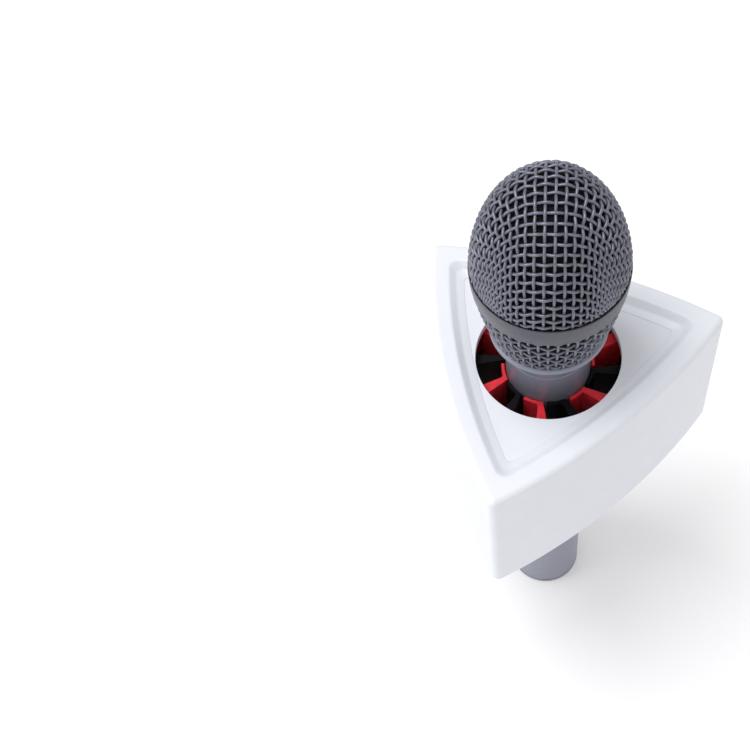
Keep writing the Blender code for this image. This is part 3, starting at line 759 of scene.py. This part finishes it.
def fin_outline(hinge_r):
    """A grip fin seen from above, its root on +X: an arm, and a pad that hugs the shaft."""
    lean = math.radians(-FIN_LEAN)
    root = Vector((hinge_r, 0.0))
    inner = Vector((math.cos(lean), math.sin(lean))) * (PAD_R + PAD_THICKNESS / 2)
    inward = (inner - root).normalized()
    side = Vector((-inward.y, inward.x))
    pad_end = -FIN_LEAN - PAD_SWEEP
    points = [root + side * FIN_ROOT_HALF, inner + side * FIN_INNER_HALF - inward * MM]
    points += [Vector(p) for p in arc_points((0, 0), PAD_R + PAD_THICKNESS,
                                             -FIN_LEAN - 4.0, pad_end, 10)]
    points += [Vector(p) for p in arc_points((0, 0), PAD_R, pad_end, -FIN_LEAN + 3.4, 12)]
    points.append(inner - side * FIN_INNER_HALF - inward * 0.2 * MM)
    heading = math.degrees(math.atan2(-side.y, -side.x))
    points += [Vector(p) for p in arc_points(root, FIN_ROOT_HALF, heading, heading - 150, 10)]
    return points


# ------------------------------------------------------------------ operators

class MIC_OT_stage(bpy.types.Operator):
    """Set up the camera, the pale floor and the soft lights"""
    bl_idname = "mic.stage"
    bl_label = "Studio"

    def execute(self, context):
        settings = context.scene.mic_stage
        add_camera(context.scene, settings.lens)
        add_floor(settings.floor)
        add_light("overhead_light", OVERHEAD_LIGHT, settings.key_power)
        add_light("left_light", LEFT_LIGHT, settings.fill_power)
        world = bpy.data.worlds.new("studio_surroundings")
        world.use_nodes = True
        sky = world.node_tree.nodes["Background"]
        sky.inputs["Color"].default_value = (1.0, 1.0, 1.0, 1.0)
        sky.inputs["Strength"].default_value = settings.sky
        context.scene.world = world
        context.scene.view_settings.view_transform = "Standard"
        return {"FINISHED"}


def add_camera(scene, lens):
    """A camera a little above the head, in front and to the right, rolled to the left."""
    data = bpy.data.cameras.new("studio_camera")
    data.lens = lens
    data.sensor_width = 36.0
    data.clip_start = 0.01
    camera = add_object("studio_camera", data)
    camera.matrix_world = (looking(CAMERA_PLACE, CAMERA_AIM)
                           @ Matrix.Rotation(math.radians(CAMERA_ROLL), 4, "Z"))
    scene.camera = camera


def looking(place, aim):
    """The matrix of something at place that looks towards aim."""
    turn = (Vector(aim) - Vector(place)).to_track_quat("-Z", "Y")
    return Matrix.Translation(place) @ turn.to_matrix().to_4x4()


def add_light(name, place, power):
    """A round, soft light aimed at the flag's top."""
    data = bpy.data.lights.new(name, "AREA")
    data.shape = "DISK"
    data.size = LIGHT_SIZE
    data.energy = power
    add_object(name, data).matrix_world = looking(place, LIGHT_AIM)


def add_floor(colour):
    """A wide round floor whose edge curves up a little, out of sight."""
    bm = bmesh.new()
    steps = 64
    loops = [[bm.verts.new((radius * math.cos(angle), radius * math.sin(angle), height))
              for angle in turn_angles(steps)] for radius, height in FLOOR_RINGS]
    bm.faces.new(loops[0])
    for inner, outer in zip(loops, loops[1:]):
        for i in range(steps):
            j = (i + 1) % steps
            bm.faces.new((inner[i], outer[i], outer[j], inner[j]))
    mesh = as_mesh("studio_floor", bm)
    mesh.shade_smooth()
    mesh.materials.append(studio_floor(colour))
    add_object("studio_floor", mesh)


class MIC_OT_upper_basket(bpy.types.Operator):
    """Weave the egg-shaped upper basket"""
    bl_idname = "mic.upper_basket"
    bl_label = "Upper basket"

    def execute(self, context):
        cloth = context.scene.mic_cloth
        wire_mesh("woven_upper_basket", upper_wires(cloth), cloth.wire / 2, "basket",
                  ["upper_basket"])
        return {"FINISHED"}


class MIC_OT_lower_basket(bpy.types.Operator):
    """Weave the tapered lower basket"""
    bl_idname = "mic.lower_basket"
    bl_label = "Lower basket"

    def execute(self, context):
        cloth = context.scene.mic_cloth
        wire_mesh("woven_lower_basket", lower_wires(cloth), cloth.wire / 2, "basket",
                  ["lower_basket"])
        return {"FINISHED"}


class MIC_OT_head_rings(bpy.types.Operator):
    """Turn the band and the collar that hold the woven baskets"""
    bl_idname = "mic.head_rings"
    bl_label = "Band and collar"

    def execute(self, context):
        inner = BAND_BASE_R - BAND_WALL
        band = rounded([
            (inner, BAND_BASE), (BAND_BASE_R, BAND_BASE),
            (BAND_BASE_R + BAND_BULGE, (BAND_BASE + BAND_TOP) / 2),
            (BAND_R, BAND_TOP), (BAND_R - 0.4 * MM, BAND_TOP),
            (BAND_R - 0.5 * MM, BAND_TOP - 2.0 * MM), (inner + 0.1 * MM, BAND_TOP - 2.0 * MM),
            (inner + 0.1 * MM, BAND_TOP), (inner, BAND_TOP),
        ], [0.1 * MM, 0.35 * MM, 6 * MM, 0.16 * MM, 0.12 * MM, 0, 0, 0, 0])
        turned("painted_band", band, "paint", "basket", ["basket_band"])
        # The collar's pale lacquer is partly painted light that makes up for the head's shade over
        # it.
        turned("painted_collar", self.collar(), "paint", "basket", ["basket_collar"],
               coat="pale_paint_and_painted_light")
        return {"FINISHED"}

    def collar(self):
        """The collar's section: a foot, a hollow flare and a rolled rim under the cloth."""
        foot = COLLAR_BASE + 0.6 * MM
        rise = COLLAR_TOP - COLLAR_RIM - foot
        spread = COLLAR_TOP_R - 0.9 * MM - COLLAR_FOOT_R
        section = [(COLLAR_BORE_R, COLLAR_BASE), (COLLAR_FOOT_R - 0.3 * MM, COLLAR_BASE),
                   (COLLAR_FOOT_R - 0.1 * MM, COLLAR_BASE + 0.15 * MM)]
        for step in range(13):
            part = step / 12
            section.append((COLLAR_FOOT_R + spread * part ** 2.2, foot + rise * part))
        for step in range(9):
            angle = math.radians(-70 + 20 * step)
            section.append((COLLAR_TOP_R - COLLAR_ROLL_R * (1 - math.cos(angle)),
                            COLLAR_TOP - COLLAR_RIM / 2 * (1 - math.sin(angle))))
        return section + [(COLLAR_SEAT_R, COLLAR_TOP), (COLLAR_BORE_R, COLLAR_TOP - COLLAR_RIM)]


class MIC_OT_foam_liner(bpy.types.Operator):
    """Shape the black foam that lies behind the woven baskets"""
    bl_idname = "mic.foam_liner"
    bl_label = "Foam liner"

    def execute(self, context):
        gap = (1 + 2 * CRIMP) * context.scene.mic_cloth.wire + LINER_GAP
        outside = self.side(gap)
        inside = self.side(gap + LINER_WALL)
        inside.reverse()
        liner = turned("foam_windscreen", outside + inside, "foam", "liner", ["foam_liner"],
                       steps=144)
        unevenness, patch = 0.07 * MM, 0.9 * MM
        for vertex in liner.data.vertices:
            lift = unevenness * noise.noise(vertex.co / patch)
            vertex.co += vertex.normal * lift
        return {"FINISHED"}

    def side(self, inset):
        """The liner's profile from its foot, past the band, to the pole."""
        points = []
        foot, shoulder = COLLAR_TOP + 0.8 * MM, BAND_BASE - 0.4 * MM
        for step in range(10):
            height = foot + (shoulder - foot) * step / 9
            points.append((float(lower_radius(height)) - inset, height))
        waist = BAND_BASE_R - inset
        points.append((min(points[-1][0], waist), BAND_BASE + 0.6 * MM))
        angles = np.linspace(0.12, math.pi / 2, 22)
        heights = BAND_TOP + (HEAD_TOP - BAND_TOP) * np.sin(angles)
        skin = np.stack([egg_radius(heights), np.zeros_like(heights), heights], axis=-1)
        skin, outward = onto_egg(skin)
        skin -= inset * outward
        points.append((waist, BAND_TOP))
        points += [(max(float(x), 0.0), float(z)) for x, _, z in skin[:-1]]
        points.append((0.0, HEAD_TOP - inset))
        return points


class MIC_OT_handle(bpy.types.Operator):
    """Turn the painted shaft and cut the head's thread on its neck"""
    bl_idname = "mic.handle"
    bl_label = "Handle"

    def execute(self, context):
        bore = SHAFT_R - SHAFT_WALL
        tube = rounded([
            (bore, 0.0), (SHAFT_R, 0.0), (SHAFT_R, 1.6 * MM), (SHAFT_R - 0.25 * MM, 1.7 * MM),
            (SHAFT_R - 0.25 * MM, 2.1 * MM), (SHAFT_R, 2.2 * MM),
            (SHAFT_R, SHAFT_TOP), (bore, SHAFT_TOP),
        ], [0.2 * MM, 0.7 * MM, 0.08 * MM, 0, 0, 0.08 * MM, 0.4 * MM, 0.1 * MM])
        # The shaft's pale lacquer is partly painted light that makes up for the head's shade over
        # it.
        shaft = turned("painted_shaft", tube, "paint", "handle", ["handle_tube"],
                       coat="pale_paint_and_painted_light")
        drill(shaft, Vector((0, SHAFT_R, SCREW_HOLE_Z)), SCREW_HOLE_R)
        self.thread()
        return {"FINISHED"}

    def thread(self):
        """The neck, with a thread where the head screws on."""
        around, levels = 72, 8
        foot, top = lowest("threaded_neck").z, highest("threaded_neck").z
        crest = highest("threaded_neck").x
        shoulder = SHAFT_TOP + 0.3 * MM
        outline = [(NECK_BORE_R, foot), (NECK_R, foot), (NECK_R, shoulder)]
        turns = int((top - shoulder) / THREAD_PITCH)
        for step in range(turns * levels + 1):
            outline.append((None, shoulder + step * THREAD_PITCH / levels))
        outline += [(crest - 0.5 * MM, top), (NECK_BORE_R, top)]
        verts = []
        for radius, height in outline:
            for step, angle in enumerate(turn_angles(around)):
                reach = radius
                if reach is None:
                    share = ((height - shoulder) / THREAD_PITCH - step / around) % 1.0
                    reach = crest - THREAD_DEPTH * abs(2 * share - 1)
                verts.append((reach * math.cos(angle), reach * math.sin(angle), height))
        finish_mesh("cut_neck", verts, ring_faces(len(outline), around, True), "steel", "handle",
                    ["threaded_neck"])


def drill(obj, place, radius):
    """Cut a round hole along Y into a piece."""
    bm = bmesh.new()
    bmesh.ops.create_cone(bm, cap_ends=True, segments=32, radius1=radius, radius2=radius,
                          depth=6 * MM, matrix=Matrix.Translation(place)
                          @ Matrix.Rotation(math.pi / 2, 4, "X"))
    cutter = add_object("drill_bit", as_mesh("drill_bit", bm))
    cut = obj.modifiers.new("drill", "BOOLEAN")
    cut.object = cutter
    cut.operation = "DIFFERENCE"
    cut.solver = "EXACT"
    depsgraph = bpy.context.evaluated_depsgraph_get()
    drilled = bpy.data.meshes.new_from_object(obj.evaluated_get(depsgraph))
    obj.modifiers.clear()
    obj.data = drilled
    bpy.data.objects.remove(cutter)


class MIC_OT_connector(bpy.types.Operator):
    """Make the output connector in the handle's lower end"""
    bl_idname = "mic.connector"
    bl_label = "Connector"

    def execute(self, context):
        low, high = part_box("connector_socket")
        barrel = rounded(box_section(SOCKET_BORE_R, low, high),
                         [0.35 * MM, 0.3 * MM, 0.2 * MM, 0.2 * MM])
        socket = turned("turned_socket", barrel, "steel", "handle", ["connector_socket"])
        drill(socket, Vector((0, high.x, SCREW_HOLE_Z)), SCREW_SEAT_R)
        for number in range(1, 4):
            self.pin(f"contact_pin_{number}")
        self.screw()
        return {"FINISHED"}

    def pin(self, node):
        """A gold-plated pin with a rounded tip, in its CAD node's place."""
        low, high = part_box(node)
        middle, radius = (low + high) / 2, (high.x - low.x) / 2
        outline = [(0.0, low.z)] + [
            (radius * math.sin(math.radians(angle)),
             low.z + radius * (1 - math.cos(math.radians(angle)))) for angle in range(15, 91, 15)]
        outline += [(radius, high.z), (0.0, high.z)]
        obj = turned(node + "_plated", outline, "gold", "handle", [node], steps=32)
        obj.data.transform(Matrix.Translation((middle.x, middle.y, 0)))

    def screw(self):
        """A small domed screw with a hexagonal recess."""
        low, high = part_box("connector_screw")
        middle = (low + high) / 2
        radius = (high.x - low.x) / 2
        depth = high.y - low.y
        outline = [(0.0, 0.0), (radius, 0.0), (radius, depth - 0.35 * MM),
                   (radius * 0.8, depth - 0.08 * MM), (radius * 0.62, depth),
                   (radius * 0.6, depth), (radius * 0.55, depth - 0.7 * MM),
                   (0.0, depth - 0.8 * MM)]
        obj = turned("recessed_screw", outline, "steel", "handle", ["connector_screw"], steps=48,
                     sharp=25.0)
        for vertex in obj.data.vertices:
            reach = math.hypot(vertex.co.x, vertex.co.y)
            if 0.1 * MM < reach < radius * 0.61:
                angle = math.atan2(vertex.co.y, vertex.co.x) % (math.pi / 3) - math.pi / 6
                scale = math.cos(math.pi / 6) / math.cos(angle)
                vertex.co.x *= scale
                vertex.co.y *= scale
        turn = Matrix.Rotation(-math.pi / 2, 4, "X")
        obj.data.transform(Matrix.Translation((middle.x, low.y, middle.z)) @ turn)


class MIC_OT_flag(bpy.types.Operator):
    """Mould the three-sided flag and the cover under it"""
    bl_idname = "mic.flag"
    bl_label = "Flag"

    def execute(self, context):
        self.shell(context.scene.mic_flag.rim_fillet)
        self.base()
        self.sleeve()
        return {"FINISHED"}

    def shell(self, fillet):
        floor_top = RIM_TOP - RECESS_DEPTH
        floor_under = floor_top - FLOOR_THICKNESS
        inner_edge = RIM_WIDTH + RECESS_SLOPE
        beyond = inner_edge + 3.0 * MM      # stands for the hole
        rim_under = RIM_TOP - RIM_THICKNESS
        knee_in, knee_down = RECESS_KNEE
        section = rounded([
            (0.0, FLAG_FOOT), (0.0, RIM_TOP), (RIM_WIDTH, RIM_TOP),
            (RIM_WIDTH + knee_in, RIM_TOP - knee_down), (inner_edge, floor_top + RECESS_LIP),
            (inner_edge + 0.6 * RECESS_LIP, floor_top), (beyond, floor_top),
            (beyond, floor_under), (inner_edge, floor_under), (RIM_WIDTH + 0.4 * MM, rim_under),
            (FLAG_WALL, rim_under), (FLAG_WALL, FLAG_FOOT),
        ], [0.6 * MM, fillet, 1.3 * MM, 2.4 * MM, 0.12 * MM, 0.12 * MM, 0, 0, 0.8 * MM, 0.8 * MM,
            1.0 * MM, 0.5 * MM], steps=7)
        rings = []
        for inset, height in section:
            if inset > beyond - 0.1 * MM:
                rings += self.hole(height, height > floor_under + 0.1 * MM)
            else:
                rings.append(outline_ring(inset, height))
        even_shading(lofted("flag_moulding", rings, "white_plastic", "flag", ["flag_shell"]))

    def hole(self, height, above):
        """The rings at the edge of the hole in the floor, from the outside in or back out."""
        down = -1 if above else 1
        rings = [round_ring(HOLE_R + 1.3 * HOLE_EDGE, height)]
        for step in range(5):
            angle = math.radians(22.5 * step)
            rings.append(round_ring(HOLE_R + HOLE_EDGE * (1 - math.sin(angle)),
                                    height + down * HOLE_EDGE * (1 - math.cos(angle))))
        return rings if above else rings[::-1]

    def base(self):
        """The cover under the flag, with a lip that hangs round its hole."""
        low, high = lowest("flag_base").z, highest("flag_base").z
        edge = FLAG_WALL + COVER_GAP
        lip_r = HOLE_R + COVER_LIP_WIDTH
        section = rounded([(edge, low), (edge, high), (edge + 8.0 * MM, high),
                           (edge + 8.0 * MM, low)], [0.5 * MM, 0.3 * MM, 0, 0])
        outer = [outline_ring(inset, height) for inset, height in section[:-2]]
        around = rounded([
            (HOLE_R, high), (HOLE_R, low - COVER_LIP), (lip_r, low - COVER_LIP),
            (lip_r + 0.2 * MM, low),
        ], [0.3 * MM, 0.4 * MM, 0.4 * MM, 0.3 * MM])
        rings = outer + [round_ring(radius, height) for radius, height in around]
        even_shading(lofted("flag_cover", rings, "white_plastic", "flag", ["flag_base"]))

    def sleeve(self):
        low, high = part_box("core_sleeve")
        outline = rounded(box_section(high.x - SLEEVE_WALL, low, high), 0.4 * MM)
        turned("inner_sleeve", outline, "black_plastic", "core", ["core_sleeve"])


class MIC_OT_grip(bpy.types.Operator):
    """Mould the red and black grip fins and the rings that carry them"""
    bl_idname = "mic.grip"
    bl_label = "Grip"

    def execute(self, context):
        edge = context.scene.mic_flag.fin_edge
        for joint in frame["joints"]:
            if joint["name"].endswith("_open"):
                node = joint["child"]
                x, y, _ = joint["pos_m"]
                self.fin(node, math.hypot(x, y), math.atan2(y, x), edge)
        for colour in ("red", "black"):
            self.ring(colour)
        return {"FINISHED"}

    def fin(self, node, hinge_r, angle, edge):
        colour = node.split("_")[0]
        outline = fin_outline(hinge_r)
        bm = bmesh.new()
        turn = Matrix.Rotation(angle, 2)
        verts = [bm.verts.new((*(turn @ point), FIN_FOOT)) for point in outline]
        face = bm.faces.new(verts)
        raised = bmesh.ops.extrude_face_region(bm, geom=[face])
        top = [item for item in raised["geom"] if isinstance(item, bmesh.types.BMVert)]
        bmesh.ops.translate(bm, verts=top, vec=(0, 0, FIN_TOP - FIN_FOOT))
        bmesh.ops.recalc_face_normals(bm, faces=bm.faces)
        rims = [e for e in bm.edges if abs(e.verts[0].co.z - e.verts[1].co.z) < 1e-7]
        bmesh.ops.bevel(bm, geom=rims, offset=edge, segments=3, profile=0.5, affect="EDGES",
                        clamp_overlap=True)
        mesh = as_mesh(node + "_moulding", bm)
        even_shading(dress(node + "_moulding", mesh, colour + "_rubber", node, 40.0, [node]))

    def ring(self, colour):
        node = colour + "_grip_ring"
        low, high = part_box(node)
        outline = rounded(box_section(high.x - GRIP_RING_WALL, low, high), 0.3 * MM)
        turned(node + "_moulding", outline, colour + "_rubber", "flag", [node])


class MIC_OT_inner_works(bpy.types.Operator):
    """Give the capsule, the transformer and the wires inside their finishes"""
    bl_idname = "mic.inner_works"
    bl_label = "Inner works"

    def execute(self, context):
        slots = {
            "connector_insulator": "black_plastic", "output_transformer": "magnet",
            "transformer_boot_lower": "black_rubber", "transformer_boot_upper": "black_rubber",
            "capsule_lead_live": "red_rubber", "capsule_lead_return": "black_rubber",
            "output_lead_1": "black_plastic", "output_lead_2": "black_plastic",
            "output_lead_3": "black_plastic", "rubber_shock_mount": "black_rubber",
            "capsule_housing": "steel", "magnet_pot": "steel", "magnet": "magnet",
            "pole_piece": "steel", "capsule_cap": "black_plastic", "voice_coil": "copper",
            "diaphragm": "film",
        }
        for node, slot in slots.items():
            obj = frame["nodes"][node]
            obj.data.materials.clear()
            obj.data.materials.append(finish(slot))
        return {"FINISHED"}


class MIC_PT_panel(bpy.types.Panel):
    """Lists the microphone's pieces and settings"""
    bl_idname = "MIC_PT_panel"
    bl_label = "Interview microphone"
    bl_space_type = "VIEW_3D"
    bl_region_type = "UI"
    bl_category = "Microphone"

    def draw(self, context):
        for group in ("mic_cloth", "mic_flag", "mic_finish", "mic_stage"):
            settings = getattr(context.scene, group)
            box = self.layout.box()
            for name in settings.__annotations__:
                box.prop(settings, name)
        for operator in OPERATORS:
            self.layout.operator(operator.bl_idname)


OPERATORS = (MIC_OT_stage, MIC_OT_handle, MIC_OT_connector, MIC_OT_foam_liner,
             MIC_OT_head_rings, MIC_OT_upper_basket, MIC_OT_lower_basket, MIC_OT_flag,
             MIC_OT_grip, MIC_OT_inner_works)
CLASSES = (ClothSettings, FlagSettings, FinishSettings, StageSettings) + OPERATORS + (
    MIC_PT_panel,)


def register():
    for cls in CLASSES:
        bpy.utils.register_class(cls)
    bpy.types.Scene.mic_cloth = PointerProperty(type=ClothSettings)
    bpy.types.Scene.mic_flag = PointerProperty(type=FlagSettings)
    bpy.types.Scene.mic_finish = PointerProperty(type=FinishSettings)
    bpy.types.Scene.mic_stage = PointerProperty(type=StageSettings)


def unregister():
    for name in ("mic_cloth", "mic_flag", "mic_finish", "mic_stage"):
        delattr(bpy.types.Scene, name)
    for cls in reversed(CLASSES):
        bpy.utils.unregister_class(cls)


def main():
    register()
    bpy.ops.mic.stage()
    bpy.ops.mic.handle()
    bpy.ops.mic.connector()
    bpy.ops.mic.foam_liner()
    bpy.ops.mic.head_rings()
    bpy.ops.mic.upper_basket()
    bpy.ops.mic.lower_basket()
    bpy.ops.mic.flag()
    bpy.ops.mic.grip()
    bpy.ops.mic.inner_works()


if __name__ == "__main__":
    main()
